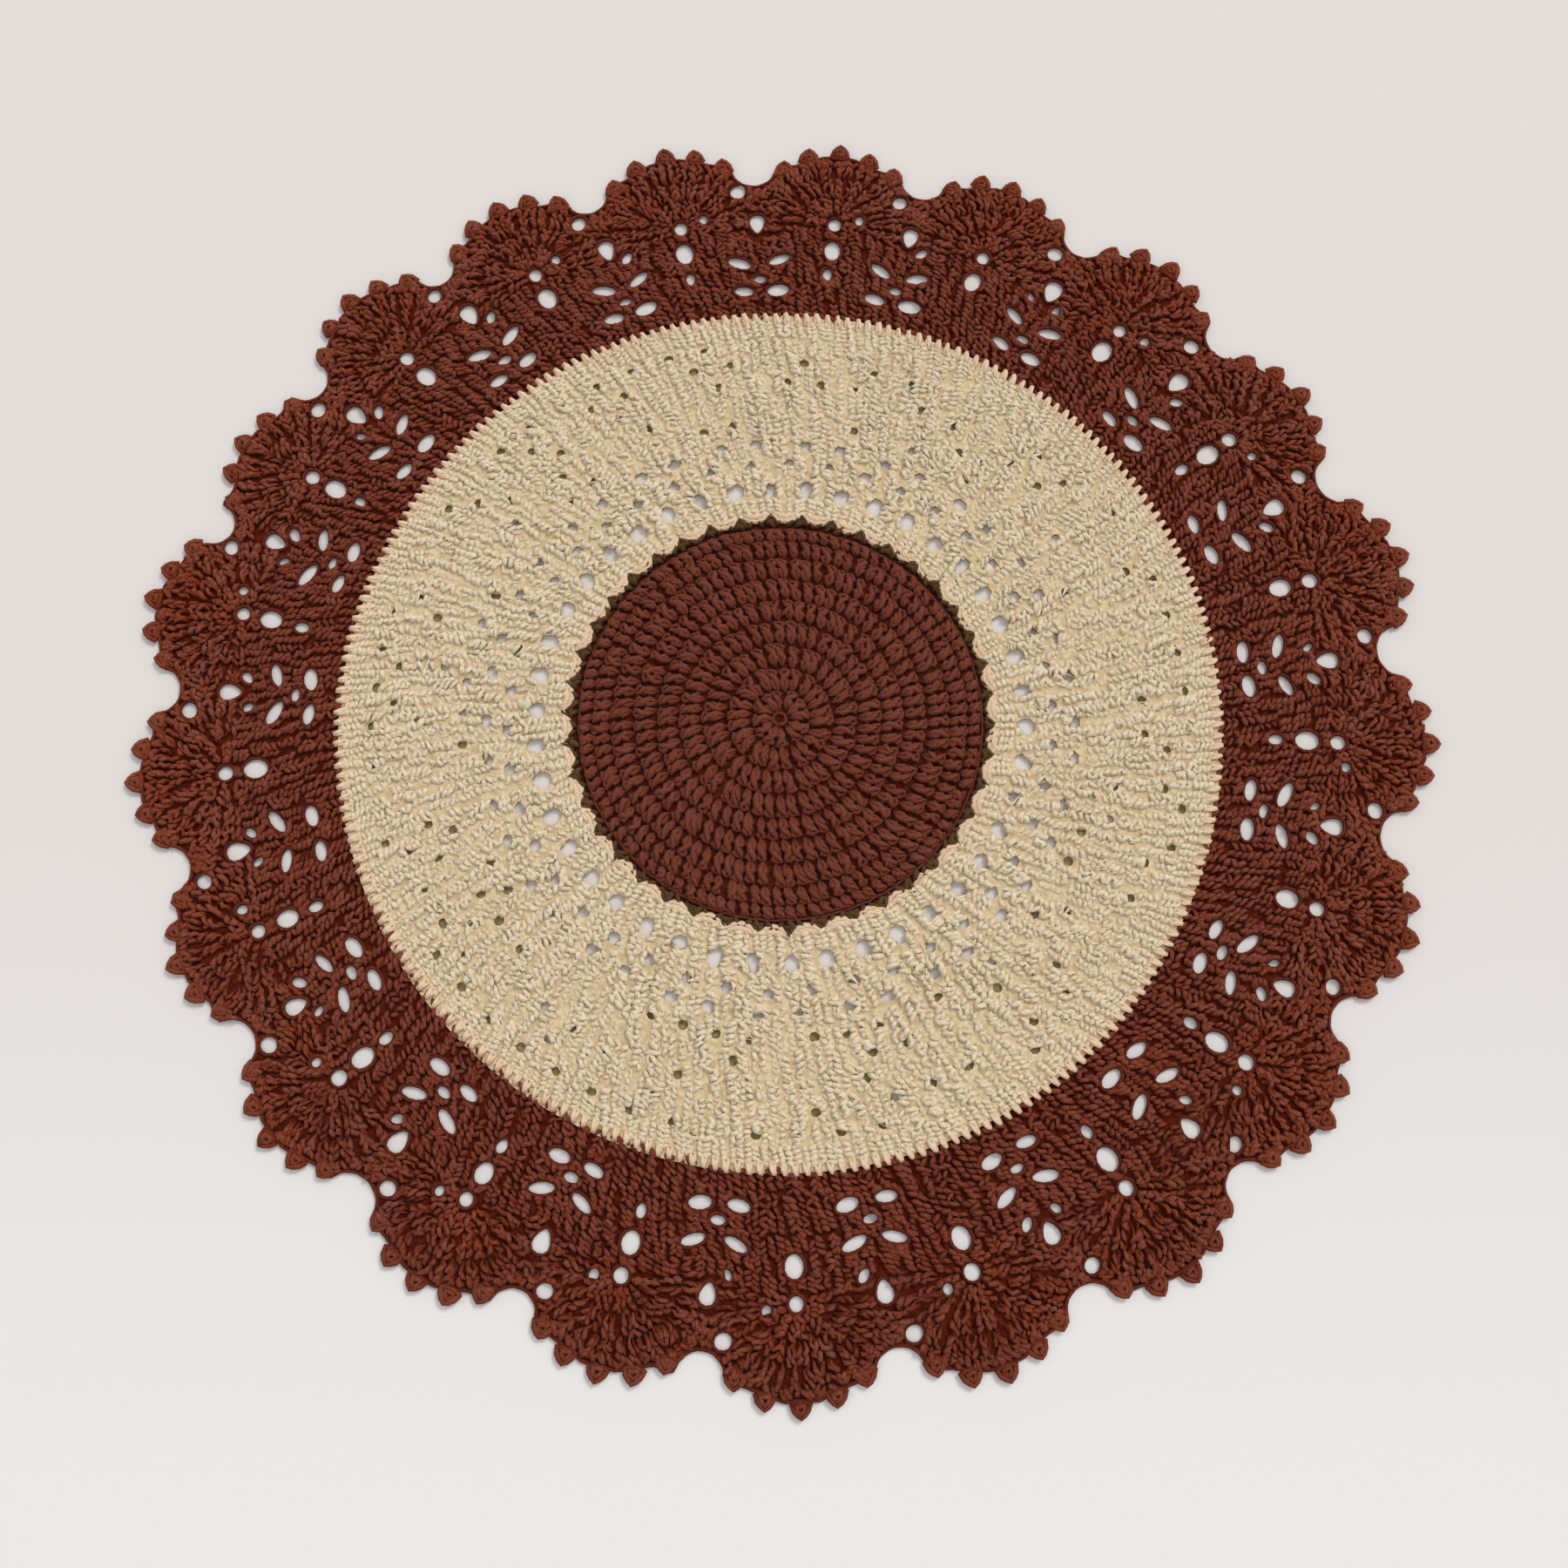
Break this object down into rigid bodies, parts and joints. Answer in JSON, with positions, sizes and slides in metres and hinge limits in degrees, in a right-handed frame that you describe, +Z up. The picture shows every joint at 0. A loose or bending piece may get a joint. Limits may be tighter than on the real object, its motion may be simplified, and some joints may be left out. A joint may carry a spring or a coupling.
{
  "type": "crochet table centrepiece",
  "caption": "Round crocheted cotton mat laid flat, with a dark centre, a cream band and a wide brown openwork border with a scalloped, pointed edge.",
  "frame": {"origin": "centre of the flat underside, on the surface that the mat lies on", "axes": "+Z up, through the fabric's thickness; +Y towards the far side of the mat as it is pictured; +X to the right"},
  "size_m": [0.598, 0.5962, 0.003],
  "materials": {
    "brown_cotton_yarn": "matte mercerised cotton crochet yarn, chestnut brown",
    "cream_cotton_yarn": "matte cotton crochet yarn, warm cream",
    "dark_brown_cotton_yarn": "matte cotton crochet yarn, dark maroon brown"
  },
  "bodies": {
    "root": {"centrepiece": "brown_cotton_yarn"}
  },
  "joints": []
}
